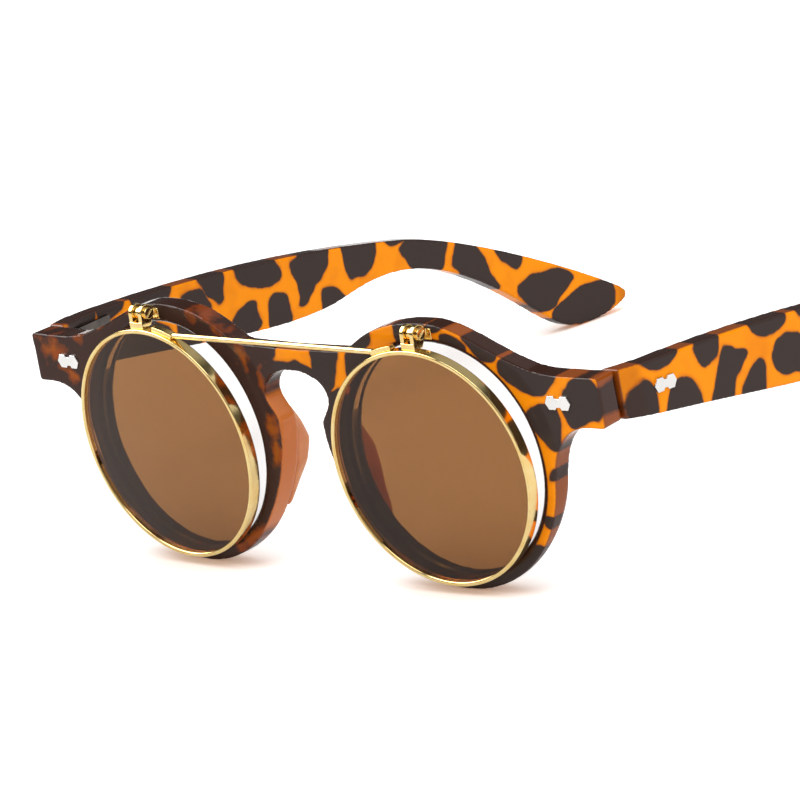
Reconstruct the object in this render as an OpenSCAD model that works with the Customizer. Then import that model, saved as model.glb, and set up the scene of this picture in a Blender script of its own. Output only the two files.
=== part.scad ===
// Flip-up sunglasses: a round-eye plastic frame with clear lenses, two folding temples,
// and a pair of wire-bridged tinted lenses that swing up on two small clevis hinges.
//
// The frame stands on the table as worn: front rims and temple tips touch the ground.
// +X is the wearer's left, -Y is forward, +Z is up. All lengths are in millimetres.

/* [Rims] */
// Diameter of each lens opening
opening_d = 42.6; // [36:0.1:48]
// Distance between the two opening centres
lens_spacing = 65.6; // [62:0.1:72]
// Angle by which each half of the front turns back, in degrees
face_wrap = 3; // [0:0.5:5]
// Thickness of the front, front to back
front_t = 4.2; // [3.8:0.1:5]
// Width of the rim round the bottom of the opening
rim_w = 2.9; // [2.4:0.1:4]
// Height of the brow above the opening
brow_h = 3.6; // [3:0.1:5]
// How much narrower the rim is at its back than at its front
rim_taper = 1.3; // [0.2:0.1:1.6]
// Bevel round the front edge of each opening
opening_bevel = 0.6; // [0.2:0.1:0.8]

/* [Bridge] */
// Height of the bridge's top edge above the opening centres
bridge_top = 18.8; // [18:0.1:21]
// Height of the bridge's material above the keyhole
bridge_h = 4; // [3:0.1:5]
// Length of the straight part of the bridge's top edge
bridge_flat = 22.6; // [18:0.2:24]
// Width of the keyhole at its round top
keyhole_w = 15.6; // [12:0.1:17]
// Width of the keyhole at its neck
neck_w = 10.6; // [8:0.1:11.5]

/* [Endpieces] */
// Width from an opening's centre to the outer end of the front
end_reach = 37.4; // [35:0.1:40]
// Height of an endpiece's top edge above the opening centres
end_top = 16.5; // [15:0.1:18]
// Height of an endpiece, top to bottom
end_h = 9.2; // [8.8:0.1:11]
// Thickness of an endpiece, front to back
end_t = 5.0; // [4.6:0.1:6]
// Radius of an endpiece's outer corners, seen from the front
end_corner = 1.2; // [0.6:0.1:2]

/* [Nose pads] */
// How far the pads stand out behind the front
pad_reach = 4.6; // [3:0.1:6]
// Radius of the pads' rounded edge
pad_edge_r = 1.1; // [0.8:0.05:1.4]

/* [Lenses] */
// Radius of the sphere that both pairs of lenses follow
lens_curve_r = 260; // [200:5:500]
// Thickness of the clear lenses
clear_lens_t = 1.8; // [1.2:0.1:2]
// Thickness of the tinted lenses
tinted_lens_t = 1.2; // [1:0.1:1.4]
// How deep the clear lenses' edges sit in the rims
groove_depth = 0.6; // [0.3:0.05:0.8]
// Clearance of a lens in its groove
lens_fit = 0.04; // [0.02:0.01:0.1]

/* [Flip rings] */
// Wall of the metal rings, seen from the front
ring_wall = 0.8; // [0.75:0.05:1.2]
// Depth of the rings, front to back
ring_depth = 2.2; // [2.1:0.1:2.8]
// How deep the tinted lenses' edges sit in the rings
ring_groove = 0.35; // [0.2:0.05:0.4]
// Bevel on the rings' front edges
ring_bevel = 0.2; // [0.1:0.05:0.3]
// Diameter of the wire that bridges the rings
bridge_wire_d = 1.1; // [0.8:0.05:1.6]
// Drop of the bridge wire's middle line below the tops of the rings
bridge_wire_drop = 0.9; // [0.8:0.1:3]
// Gap between the rings' lower edge and the front when the flip is down
rest_gap = 1.1; // [0.6:0.05:1.4]

/* [Flip hinges] */
// Sideways offset of each flip hinge from its opening's centre
flip_hinge_out = 0.9; // [0:0.1:3]
// Distance of the flip pivot in front of the rims
pivot_reach = 3.1; // [2.9:0.1:4]
// Distance of the flip pivot below the top of the brow
pivot_drop = 0.7; // [0.2:0.1:1]
// Height of the flip pivot above the rings' outer edge
pivot_rise = 2.4; // [2:0.1:3]
// Distance of the flip pivot behind the rings' front edge
pivot_behind = 2.5; // [2.4:0.1:2.8]
// Width of a clevis over both ears
clevis_w = 3.2; // [2.8:0.1:4]
// Thickness of each ear
ear_t = 0.85; // [0.7:0.05:1]
// Radius of the rounded ears
ear_r = 1.65; // [1.5:0.05:1.8]
// Radius of the lug's knuckle between the ears
knuckle_r = 1.1; // [0.9:0.05:1.15]
// Thickness of the lug's flange against the brow
lug_flange_t = 0.5; // [0.3:0.05:0.7]
// Diameter of the stud that holds a lug in the brow
lug_stud_d = 1.2; // [0.8:0.1:1.6]
// Length of that stud inside the brow
lug_stud_l = 2.8; // [2:0.1:3.2]
// Diameter of the flip screws' shanks
flip_screw_d = 0.9; // [0.7:0.05:1]
// Diameter of the flip screws' heads
flip_head_d = 2.1; // [1.6:0.1:2.6]
// Thickness of the flip screws' heads
flip_head_t = 0.5; // [0.4:0.05:0.8]

/* [Temples] */
// Length of a temple from the seam to the end of its tip, measured straight back
temple_len = 146.2; // [140:0.1:156]
// Thickness of a temple's arm
temple_t = 3.9; // [3.2:0.1:4.4]
// Thickness at the tip
tip_t = 3.4; // [2.8:0.1:4]
// How far a temple bows outboard of the front's ends
temple_bow = 2; // [0:0.1:3]
// How far the tip curls in towards the head
tip_curl = 6; // [2:0.1:8]
// Height of a temple at the seam
temple_h = 9; // [8:0.1:10]
// Distance from the seam to the bend over the ear
ear_bend = 93; // [88:0.5:100]
// Fall of the top edge from the seam to the bend
shaft_fall = 13.5; // [10:0.1:16]
// Height of the arm at the bend
bend_h = 4.8; // [4:0.1:8]
// How far the arm's underside hangs lower in front of the bend
belly_sag = 1.2; // [0:0.1:2]
// Drop of the tip's lowest point below the bend's top edge
tip_drop = 31.2; // [26:0.1:34]
// Height of the paddle-shaped tip
tip_h = 9.8; // [8:0.1:11]
// Gap of the seam between the front and a temple
seam_gap = 0.25; // [0.2:0.05:0.5]

/* [Temple hinges] */
// Distance of the hinge axis from the outer end of the front
hinge_in = 5.2; // [4.8:0.1:6]
// Radius of the hinge barrels
barrel_r = 1.3; // [1.2:0.05:1.5]
// Height of the three barrels together
barrel_stack = 6; // [5:0.1:7]
// Thickness of the hinge leaves
leaf_t = 0.8; // [0.6:0.05:1]
// Diameter of the hinge screws' shanks
hinge_screw_d = 1.3; // [1:0.05:1.5]
// Diameter of the hinge screws' heads
hinge_head_d = 2.3; // [1.8:0.1:2.6]
// Radial clearance of a screw in a turning barrel
turn_fit = 0.05; // [0.03:0.01:0.1]
// Gap between barrels that turn past each other
barrel_gap = 0.1; // [0.05:0.01:0.2]

/* [Rivets] */
// Distance from the outer end of the front to the front rivet
rivet_in = 9.4; // [9:0.1:10.4]
// Distance from the seam to the temple rivet
rivet_back = 9.3; // [8.8:0.1:12]
// Height of the rivets above the opening centres
rivet_up = 11.7; // [11:0.1:12.5]
// Size across one lobe of a rivet's double head
lobe_d = 2.9; // [2.2:0.1:3.2]
// Width of the waist between the two lobes
waist_w = 1.6; // [1:0.1:2]
// Distance between a rivet's two shanks
shank_pitch = 2.8; // [2.4:0.1:3.2]
// Diameter of the rivets' shanks
shank_d = 1.1; // [0.8:0.05:1.4]
// How far the rivet heads stand proud
rivet_proud = 0.25; // [0.1:0.05:0.5]
// How deep the rivet heads are let in
rivet_sink = 0.3; // [0.1:0.05:0.5]

/* [Hidden] */
$fn = 96;

left = 1;
right = -1;
// Longer than any piece, for cuts that run right through
far = 200;
// How far a cut starts outside the face it opens
past = 1;
// How far two shapes of one piece run into each other
weld = 0.1;

// Front
open_r = opening_d / 2;
half_spacing = lens_spacing / 2;
rim_r = open_r + rim_w;
brow_top = open_r + brow_h;
keyhole_top = bridge_top - bridge_h;
end_bottom = end_top - end_h;
rivet_out = end_reach - rivet_in;

// Lenses: spherical shells cut to discs, their edges in grooves, the rings' midway in their depth
clear_r = open_r + groove_depth;
tinted_r = open_r + ring_groove;
clear_edge = 1.3;
tinted_edge = (ring_depth - edge_t(tinted_r, tinted_lens_t)) / 2;

// Flip: the pivot's place in front of the brow, and the angle at which the rings rest
ring_ro = open_r + ring_wall;
pivot_up = ring_ro + pivot_rise;
pivot_z = brow_top - pivot_drop;
flip_x = half_spacing + flip_hinge_out;
rest_a = ring_depth - pivot_behind;
rest_b = pivot_up + ring_ro;
flip_rest = atan2(rest_b, rest_a) - acos((pivot_reach - rest_gap) / norm([rest_a, rest_b]));

// Clevises, seen from the side: their feet stand on the rings, from ear_from to ear_to
clevis_gap = clevis_w - 2 * ear_t;
clevis_foot = ring_ro - 0.3;
clevis_floor = pivot_up - knuckle_r - 0.2;
ear_from = 0.6;
ear_to = ring_depth + 0.4;
press_fit = 0.01;

// Lugs: a stud in the brow, a flange on it and a knuckle between the ears
lug_w = clevis_gap - 2 * barrel_gap;
lug_stud_z = open_r + brow_h / 2;
lug_flange_h = 2;
lug_flange_low = 0.9;
lug_stem_h = 1.5 * knuckle_r;
slot_w = 0.3;

// Bridge wire: straight between the rings, its flattened ends bent up along them
wire_r = bridge_wire_d / 2;
wire_y = 0.9;
wire_up = ring_ro - bridge_wire_drop;
wire_end_out = acos((wire_up - wire_r) / ring_ro);
wire_end_in = 8;
wire_flat_y = wire_y + 0.3;
wire_flat_w = bridge_wire_d + 0.4;
wire_flat_t = 0.8 * bridge_wire_d;

// Temple hinges: the screw's axis stands behind the endpiece
hinge_out = end_reach - hinge_in;
hinge_deep = end_t + barrel_r + barrel_gap;
hinge_x = half_spacing + hinge_out * cos(face_wrap) - hinge_deep * sin(face_wrap);
hinge_y = hinge_out * sin(face_wrap) + hinge_deep * cos(face_wrap);
hinge_z = rivet_up - barrel_stack / 2;
barrel_h = (barrel_stack - 2 * barrel_gap) / 3;
leaf_h = barrel_stack - 0.6;
leaf_margin = 1.6;
leaf_from = rivet_out - shank_pitch / 2 - leaf_margin;
hinge_head_h = 0.6;
hinge_tip = 0.3;

// Temples: where the seam lies, the faces of the arm, and the heights of its main points
seam_x = half_spacing + end_reach * cos(face_wrap);
seam_y = (seam_x - half_spacing) * sin(face_wrap) + end_t + seam_gap;
arm_out = seam_x + temple_bow;
arm_in = arm_out - temple_t;
seam_top = end_top - 0.1;
bend_y = seam_y + ear_bend;
bend_top = seam_top - shaft_fall;
end_y = seam_y + temple_len;
tip_low = bend_top - tip_drop;
tip_low_y = end_y - 10.3;
rivet_y = seam_y + rivet_back;
rivet_z = rivet_up - 0.7;
rivet_slope = -5;
leaf_end = rivet_y + shank_pitch / 2 + leaf_margin;

// Standing pose: rims and temple tips on the ground, and the middle of the length at Y = 0
tip_rise = tip_low + rim_r;
lean = asin(-tip_rise / norm([tip_low_y, tip_rise]));
ground = rim_r * cos(lean);
ring_y = -pivot_reach + pivot_up * sin(flip_rest) - pivot_behind * cos(flip_rest);
nearest_y = ring_y - ring_ro * norm([sin(face_wrap), sin(flip_rest + lean)]);
farthest_y = end_y * cos(lean) - (tip_low + tip_h / 2) * sin(lean);
centre_y = -(nearest_y + farthest_y) / 2;

// A cubic curve from a to d, with its handles given from those two ends
function curve(a, leave, reach, d, n = 10) = [
    for (i = [1 : n])
        let (t = i / n, s = 1 - t)
            a * s * s * s + 3 * (a + leave) * t * s * s + 3 * (d + reach) * t * t * s + d * t * t * t
];

function arc(r, from, to, n = 24) = [
    for (i = [1 : n])
        let (a = from + (to - from) * i / n)
            r * [cos(a), sin(a)]
];

// How thick a lens is at its edge, measured front to back
function edge_t(r, thickness) = sqrt(pow(lens_curve_r, 2) - r * r)
    - sqrt(pow(lens_curve_r - thickness, 2) - r * r);

// Outline of one half of the front, seen from the front, about its opening's centre.
// The round rim runs from the endpiece to the nose wall, between two angles.
rim_join = -8;
nasal_join = -135;
join_out = rim_r * [cos(rim_join), sin(rim_join)];
join_in = rim_r * [cos(nasal_join), sin(nasal_join)];
bridge_end = [bridge_flat / 2 - half_spacing, bridge_top];
brow_start = [-open_r + 4.8, brow_top - 4.3];
brow_peak = [0, brow_top];
end_start = [end_reach - 8.4, end_top];
end_under = [end_reach - 3.9, end_bottom];
neck = [neck_w / 2 - half_spacing, open_r * 0.21];
keyhole_side = [keyhole_w / 2 - half_spacing, keyhole_top - 5];
keyhole_middle = [-half_spacing, keyhole_top];
past_middle = [-3, 0];

front_outline = concat(
    [[-half_spacing, bridge_top] + past_middle, bridge_end],
    curve(bridge_end, [2, 0], [-1.9, -1.2], brow_start, 5),
    curve(brow_start, [5, 3.4], [-6, 0], brow_peak),
    curve(brow_peak, [9.5, 0], [-12, 0], end_start),
    curve([end_reach - end_corner, end_top], [end_corner, 0],
        [0, end_corner], [end_reach, end_top - end_corner], 5),
    curve([end_reach, end_bottom + end_corner], [0, -end_corner],
        [end_corner, 0], [end_reach - end_corner, end_bottom], 5),
    [end_under],
    curve(end_under, [-5, 0], 7 * [-sin(rim_join), cos(rim_join)], join_out),
    arc(rim_r, rim_join, nasal_join),
    curve(join_in, 8 * [sin(nasal_join), -cos(nasal_join)], [0, -7], neck),
    curve(neck, [0, 2], [0, -2.2], keyhole_side, 6),
    curve(keyhole_side, [0, 2.8], [keyhole_w / 2 - 3.5, 0], keyhole_middle),
    [keyhole_middle + past_middle]
);

// Side outline of a temple: x is the distance back, y the height above the opening centres
shaft_top = [seam_y, seam_top];
shaft_foot = [seam_y, seam_top - temple_h];
bend_over = [bend_y, bend_top];
bend_under = [bend_y - 10, bend_top - bend_h];
belly = [bend_y - 25, bend_top - bend_h - belly_sag];
tip_back = [end_y - 1.3, tip_low + tip_h - 4.9];
tip_foot = [tip_low_y, tip_low];
tip_front = [tip_low_y - 11, tip_low + 5.4];
past_seam = [-3, 0];

temple_outline = concat(
    [shaft_top + past_seam, shaft_top],
    curve(shaft_top, [38, -2], [-25, 6.5], bend_over),
    curve(bend_over, [13, -3.6], [-14, 9.9], tip_back),
    curve(tip_back, [4.5, -3.2], [5.5, 0], tip_foot, 8),
    curve(tip_foot, [-4.5, 0], [4, -3.3], tip_front, 6),
    curve(tip_front, [-16, 14.6], [13, 0], bend_under),
    curve(bend_under, [-6, 0], [5, 0], belly, 6),
    curve(belly, [-17, 0], [33, -5.4], shaft_foot),
    [shaft_foot + past_seam]
);

// Plan outline of a temple, seen from above, for the wearer's left: the arm flares out
// behind the seam, runs straight, and curls in from just before the bend
flare = [0.8 * temple_bow, 4];
curl = [tip_curl * 2 / 3, -18];
root = [seam_x, seam_y - 1];
arm_start = [arm_out, seam_y + 12];
curl_start = [arm_out, bend_y - 8];
curl_end = [arm_out - tip_curl, end_y + 2];
wall = [temple_t, 0];
tip_wall = [tip_t, 0];

temple_plan = concat(
    [root - [0, past], root],
    curve(root, flare, [0, -6], arm_start),
    curve(curl_start, [0, 26], curl, curl_end, 12),
    [curl_end - tip_wall],
    curve(curl_end - tip_wall, curl, [0, 26], curl_start - wall, 12),
    [arm_start - wall],
    curve(arm_start - wall, [0, -6], flare, root - wall),
    [root - wall - [0, past]]
);

// Placing: stand() stands worn-frame shapes on the ground, half() puts a shape that is drawn
// about an opening's centre onto that side of the front, and flip() carries the raised parts
module stand() {
    translate([0, centre_y, ground]) rotate([lean, 0, 0]) children();
}

module sided(side) {
    mirror([side < 0 ? 1 : 0, 0, 0]) children();
}

module half(side) {
    sided(side) translate([half_spacing, 0, 0]) rotate([0, 0, face_wrap]) children();
}

module flip() {
    translate([0, -pivot_reach, pivot_z]) rotate([flip_rest, 0, 0])
        translate([0, -pivot_behind, -pivot_up]) children();
}

// A flat outline in the plane of the front, from one depth to another
module slab(from, to) {
    translate([0, to, 0]) rotate([90, 0, 0]) linear_extrude(to - from) children();
}

// A round bar along the front-to-back direction
module bar_y(r, from, to) {
    translate([0, from, 0]) rotate([-90, 0, 0]) cylinder(r = r, h = to - from);
}

// A round bar along the side-to-side direction
module bar_x(r, from, to) {
    translate([from, 0, 0]) rotate([0, 90, 0]) cylinder(r = r, h = to - from);
}

module lens_disc(r, edge, thickness) {
    apex = edge - lens_curve_r + sqrt(lens_curve_r * lens_curve_r - r * r);
    intersection() {
        bar_y(r, apex - past, edge + thickness + past);
        difference() {
            translate([0, apex + lens_curve_r, 0]) sphere(r = lens_curve_r);
            translate([0, apex + lens_curve_r, 0]) sphere(r = lens_curve_r - thickness);
        }
    }
}

// Two joined six-sided lobes, the decorative head of a rivet
module rivet_head(grow = 0) {
    for (s = [-1, 1]) translate([s * shank_pitch / 2, 0]) circle(r = lobe_d / 2 + grow, $fn = 6);
    square([shank_pitch, waist_w + 2 * grow], center = true);
}

module rivet_shanks(r, from, to) {
    for (s = [-1, 1]) translate([s * shank_pitch / 2, 0, 0]) bar_y(r, from, to);
}

// The seat that is cut for a rivet
module rivet_seat(depth) {
    slab(-past - temple_bow, rivet_sink) rivet_head(lens_fit);
    rivet_shanks(shank_d / 2 + turn_fit, -past, depth + past);
}

module front_half_solid() {
    half(left) difference() {
        union() {
            slab(0, front_t) polygon(front_outline);
            slab(0, end_t) intersection() {
                polygon(front_outline);
                translate([rim_r, end_bottom]) square([end_reach - rim_r, end_h]);
            }
        }
        bar_y(open_r, -past, front_t + past);
        bar_y(clear_r + lens_fit, clear_edge - lens_fit,
            clear_edge + edge_t(clear_r, clear_lens_t) + lens_fit);
        translate([0, -weld, 0]) rotate([-90, 0, 0])
            cylinder(r1 = open_r + opening_bevel + weld, r2 = open_r, h = opening_bevel + weld);
        translate([rivet_out, 0, rivet_up]) rivet_seat(end_t);
        translate([flip_hinge_out, 0, lug_stud_z])
            bar_y(lug_stud_d / 2 + turn_fit, -past, lug_stud_l + turn_fit);
        rim_back_cut();
    }
}

// What tapers the rim towards its back: all that lies outside an offset cone, under the opening
module rim_back_cut() {
    middle = (rim_join + nasal_join) / 2;
    half_turn = (rim_join - nasal_join) / 2 + 4;
    shift = rim_taper / (1 - cos(half_turn));
    r = rim_r + shift * cos(half_turn);
    from = front_t * 0.35;
    rotate([0, -middle, 0]) intersection() {
        difference() {
            bar_y(rim_r + rim_w, from, front_t + past);
            translate([-shift, front_t, 0]) rotate([90, 0, 0])
                cylinder(r1 = r, r2 = r + rim_taper, h = front_t - from);
            translate([-shift, 0, 0]) bar_y(r, front_t - weld / 10, front_t + 2 * past);
        }
        translate([rim_r * cos(half_turn), 0, -far / 2]) cube(far);
    }
}

module front_frame() {
    color("darkorange") stand() for (side = [left, right]) sided(side) intersection() {
        front_half_solid();
        translate([0, -far / 2, -far / 2]) cube(far);
    }
}

// Nose pads: a ridge that follows the nasal side of each rim, given by ribs at six angles,
// each with its height as a share of the reach and its lean towards the opening
pad_turns = [168, 175, 183, 192, 201, 211];
pad_heights = [0, 0.57, 1, 0.87, 0.47, -0.1];
pad_leans = [-0.3, -0.2, 0.3, 0.8, 1.2, 1.4];
pad_root_r = pad_edge_r + 0.3;

module pad_rib(i) {
    rise = pad_heights[i] * (pad_reach - pad_edge_r);
    out = rim_r - pad_leans[i];
    rotate([0, -pad_turns[i], 0]) {
        translate([out + 0.2, front_t, 0]) sphere(r = pad_root_r, $fn = 24);
        translate([out, front_t + rise, 0]) sphere(r = pad_edge_r, $fn = 24);
    }
}

module nose_pad(side) {
    color("peru") stand() half(side) intersection() {
        union() for (i = [0 : len(pad_turns) - 2]) hull() {
            pad_rib(i);
            pad_rib(i + 1);
        }
        translate([-far / 2, front_t, -far / 2]) cube(far);
    }
}

module clear_lens(side) {
    color("white", 0.3) stand() half(side) lens_disc(clear_r, clear_edge, clear_lens_t);
}

module flip_lug(side) {
    color("gold") stand() difference() {
        union() {
            half(side) translate([flip_hinge_out, 0, lug_stud_z]) {
                bar_y(lug_stud_d / 2, -lug_flange_t, lug_stud_l);
                translate([-clevis_w / 2, -lug_flange_t, -lug_flange_low])
                    cube([clevis_w, lug_flange_t, lug_flange_h]);
            }
            translate([side * flip_x, -pivot_reach, pivot_z]) bar_x(knuckle_r, -lug_w / 2, lug_w / 2);
            translate([side * flip_x - lug_w / 2, -pivot_reach, pivot_z - knuckle_r])
                cube([lug_w, pivot_reach - lug_flange_t / 2, lug_stem_h]);
        }
        translate([side * flip_x, -pivot_reach, pivot_z])
            bar_x(flip_screw_d / 2 + turn_fit, -clevis_w, clevis_w);
    }
}

// Temple hinges: two barrels on the front's leaf, one between them on the temple's leaf
module barrel() {
    cylinder(r = barrel_r, h = barrel_h);
}

function barrel_z(i) = hinge_z + i * (barrel_h + barrel_gap);

module front_hinge(side) {
    color("silver") stand() half(side) difference() {
        union() {
            translate([leaf_from, end_t, rivet_up - leaf_h / 2])
                cube([hinge_out - barrel_r - leaf_from, leaf_t, leaf_h]);
            for (i = [0, 2]) {
                translate([hinge_out, hinge_deep, barrel_z(i)]) barrel();
                translate([hinge_out - barrel_r - weld, end_t, barrel_z(i)])
                    cube([barrel_r + weld, barrel_r, barrel_h]);
            }
        }
        translate([rivet_out, 0, rivet_up]) rivet_shanks(shank_d / 2 + turn_fit, 0, end_t + leaf_t + past);
        translate([hinge_out, hinge_deep, 0]) cylinder(r = hinge_screw_d / 2 + turn_fit, h = far);
    }
}

module temple_hinge(side) {
    color("silver") stand() sided(side) difference() {
        union() {
            translate([hinge_x, hinge_y, barrel_z(1)]) {
                barrel();
                cube([arm_in - hinge_x, barrel_r, barrel_h]);
            }
            translate([arm_in - leaf_t, hinge_y, rivet_up - leaf_h / 2])
                cube([leaf_t, leaf_end - hinge_y, leaf_h]);
        }
        translate([hinge_x, hinge_y, 0]) cylinder(r = hinge_screw_d / 2 + turn_fit, h = far);
        on_temple() rivet_shanks(shank_d / 2 + turn_fit, 0, far / 2);
    }
}

module hinge_screw(side) {
    color("silver") stand() half(side) translate([hinge_out, hinge_deep, hinge_z]) difference() {
        union() {
            translate([0, 0, -hinge_tip]) cylinder(d = hinge_screw_d, h = barrel_stack + hinge_tip);
            translate([0, 0, barrel_stack]) cylinder(d = hinge_head_d, h = hinge_head_h);
        }
        translate([-hinge_head_d / 2, -slot_w / 2, barrel_stack + hinge_head_h / 2])
            cube([hinge_head_d, slot_w, hinge_head_h]);
    }
}

module front_rivet(side) {
    color("white") stand() half(side) translate([rivet_out, 0, rivet_up]) {
        slab(-rivet_proud, rivet_sink) rivet_head();
        rivet_shanks(shank_d / 2, 0, end_t + leaf_t);
    }
}

// Turns what is drawn on the front onto a temple's outer face
module on_temple() {
    translate([arm_out, rivet_y, rivet_z]) rotate([rivet_slope, 0, 0]) rotate([0, 0, 90]) children();
}

// Temples: the side outline cut to the plan outline, with a pocket for the hinge leaf
module temple(side) {
    color("darkorange") stand() sided(side) difference() {
        intersection() {
            rotate([90, 0, 90]) linear_extrude(far) polygon(temple_outline);
            translate([0, 0, -far / 2]) linear_extrude(far) polygon(temple_plan);
            translate([half_spacing, 0, 0]) rotate([0, 0, face_wrap])
                translate([0, end_t + seam_gap, -far / 2]) cube(far);
        }
        on_temple() rivet_seat(temple_t + leaf_t);
        translate([0, 0, rivet_up - leaf_h / 2 - seam_gap])
            cube([arm_in, leaf_end + seam_gap, leaf_h + 2 * seam_gap]);
    }
}

module temple_rivet(side) {
    color("white") stand() sided(side) on_temple() {
        slab(-rivet_proud, rivet_sink) rivet_head();
        rivet_shanks(shank_d / 2, 0, temple_t + leaf_t);
    }
}

// Flip rings: a channel section turned round the lens
module flip_ring(side) {
    groove_from = tinted_edge - lens_fit;
    groove_to = tinted_edge + edge_t(tinted_r, tinted_lens_t) + lens_fit;
    groove_r = tinted_r + lens_fit;
    color("gold") stand() flip() half(side) rotate([-90, 0, 0]) rotate_extrude() polygon([
        [open_r, ring_bevel], [open_r + ring_bevel, 0],
        [ring_ro - ring_bevel, 0], [ring_ro, ring_bevel],
        [ring_ro, ring_depth], [open_r, ring_depth], [open_r, groove_to],
        [groove_r, groove_to], [groove_r, groove_from], [open_r, groove_from]
    ]);
}

module tinted_lens(side) {
    color("saddlebrown", 0.7) stand() flip() half(side) lens_disc(tinted_r, tinted_edge, tinted_lens_t);
}

module flip_bridge_bar() {
    reach = half_spacing - (ring_ro + wire_r) * sin(wire_end_out);
    color("gold") stand() flip() difference() {
        union() {
            translate([0, wire_y, wire_up]) bar_x(wire_r, -reach, reach);
            for (side = [left, right]) half(side) translate([0, wire_flat_y, 0]) rotate([-90, 0, 0])
                rotate([0, 0, -90 - wire_end_out]) rotate_extrude(angle = wire_end_out - wire_end_in)
                translate([ring_ro - weld, -wire_flat_w / 2]) square([wire_flat_t + weld, wire_flat_w]);
        }
        for (side = [left, right]) half(side) bar_y(ring_ro, -ring_depth, 2 * ring_depth);
    }
}

module ear_outline() {
    polygon([
        [ear_from, clevis_foot], [ear_to, clevis_foot],
        [pivot_behind + ear_r * 0.9, pivot_up - ear_r * 0.44], [pivot_behind - ear_r, pivot_up]
    ]);
    translate([pivot_behind, pivot_up]) circle(r = ear_r);
}

module flip_clevis(side) {
    color("gold") stand() flip() difference() {
        translate([side * flip_x, 0, 0]) union() {
            for (s = [-1, 1]) translate([s * (clevis_w - ear_t) / 2 - ear_t / 2, 0, 0])
                rotate([90, 0, 90]) linear_extrude(ear_t) ear_outline();
            translate([-clevis_w / 2, ear_from, clevis_foot])
                cube([clevis_w, ear_to - ear_from, clevis_floor - clevis_foot]);
        }
        half(side) bar_y(ring_ro, -ring_depth, 3 * ring_depth);
        translate([side * flip_x, pivot_behind, pivot_up])
            bar_x(flip_screw_d / 2 + press_fit, -clevis_w, clevis_w);
    }
}

module flip_screw(side) {
    color("gold") stand() flip() translate([side * flip_x, pivot_behind, pivot_up]) difference() {
        union() {
            bar_x(flip_screw_d / 2, -clevis_w / 2, clevis_w / 2);
            bar_x(flip_head_d / 2, clevis_w / 2, clevis_w / 2 + flip_head_t);
        }
        translate([clevis_w / 2 + flip_head_t / 2, 0, 0]) rotate([35, 0, 0])
            translate([0, -flip_head_d, -slot_w / 2]) cube([flip_head_t, 2 * flip_head_d, slot_w]);
    }
}

front_frame();
nose_pad(left);  // nose_pad_left
nose_pad(right);  // nose_pad_right
clear_lens(left);  // clear_lens_left
clear_lens(right);  // clear_lens_right
front_hinge(left);  // front_hinge_left
front_hinge(right);  // front_hinge_right
temple_hinge(left);  // temple_hinge_left
temple_hinge(right);  // temple_hinge_right
hinge_screw(left);  // hinge_screw_left
hinge_screw(right);  // hinge_screw_right
front_rivet(left);  // front_rivet_left
front_rivet(right);  // front_rivet_right
temple(left);  // temple_left
temple(right);  // temple_right
temple_rivet(left);  // temple_rivet_left
temple_rivet(right);  // temple_rivet_right
flip_ring(left);  // flip_ring_left
flip_ring(right);  // flip_ring_right
tinted_lens(left);  // tinted_lens_left
tinted_lens(right);  // tinted_lens_right
flip_bridge_bar();
flip_clevis(left);  // flip_clevis_left
flip_clevis(right);  // flip_clevis_right
flip_lug(left);  // flip_lug_left
flip_lug(right);  // flip_lug_right
flip_screw(left);  // flip_screw_left
flip_screw(right);  // flip_screw_right
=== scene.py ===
from math import asin, cos, pi, radians

import bpy
import numpy as np
from mathutils import Matrix, Vector, noise


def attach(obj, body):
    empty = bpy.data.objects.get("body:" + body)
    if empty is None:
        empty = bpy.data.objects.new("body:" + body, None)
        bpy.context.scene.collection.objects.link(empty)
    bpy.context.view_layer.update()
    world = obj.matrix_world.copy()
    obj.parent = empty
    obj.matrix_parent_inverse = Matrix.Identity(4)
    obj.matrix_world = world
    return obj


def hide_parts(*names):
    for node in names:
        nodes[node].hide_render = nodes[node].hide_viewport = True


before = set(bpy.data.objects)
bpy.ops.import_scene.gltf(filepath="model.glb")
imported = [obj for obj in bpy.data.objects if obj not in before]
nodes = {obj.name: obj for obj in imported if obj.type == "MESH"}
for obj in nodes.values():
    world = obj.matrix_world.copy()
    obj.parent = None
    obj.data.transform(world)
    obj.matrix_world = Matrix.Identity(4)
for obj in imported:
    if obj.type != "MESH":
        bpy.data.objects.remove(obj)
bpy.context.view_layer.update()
scene = bpy.context.scene
bpy.ops.object.select_all(action="DESELECT")

# Lengths below are written in millimetres times mm
mm = 0.001
# The same waves in the cells' sides every time
noise.seed_set(11)

# Where the glasses are worn: the middle between the clear lenses, with the directions across
# the face, back towards the ears and up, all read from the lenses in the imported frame


def node_points(node_name):
    mesh = nodes[node_name].data
    flat = np.empty(3 * len(mesh.vertices))
    mesh.vertices.foreach_get("co", flat)
    return flat.reshape(-1, 3)


def disc_place(node_name):
    """The middle of a round CAD node's front-most plane, and its axis, pointing back."""
    at = node_points(node_name)
    middle = at.mean(0)
    spread = np.linalg.eigh((at - middle).T @ (at - middle))[1][:, 0]
    axis = spread if spread[1] > 0 else -spread
    front = ((at - middle) @ axis).min()
    return Vector(middle + axis * front), Vector(axis).normalized()


lens_left, back_left = disc_place("clear_lens_left")
lens_right, back_right = disc_place("clear_lens_right")
worn_middle = (lens_left + lens_right) / 2
across = (lens_left - lens_right).normalized()
back = (back_left + back_right).normalized()
up = across.cross(back).normalized()


# Nodes of a material, added and wired by short calls

def new_material(name):
    material = bpy.data.materials.new(name)
    material.use_nodes = True
    material.node_tree.nodes.clear()
    return material, material.node_tree


def add_node(tree, kind, **settings):
    made = tree.nodes.new("ShaderNode" + kind)
    for key, value in settings.items():
        setattr(made, key, value)
    return made


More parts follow.
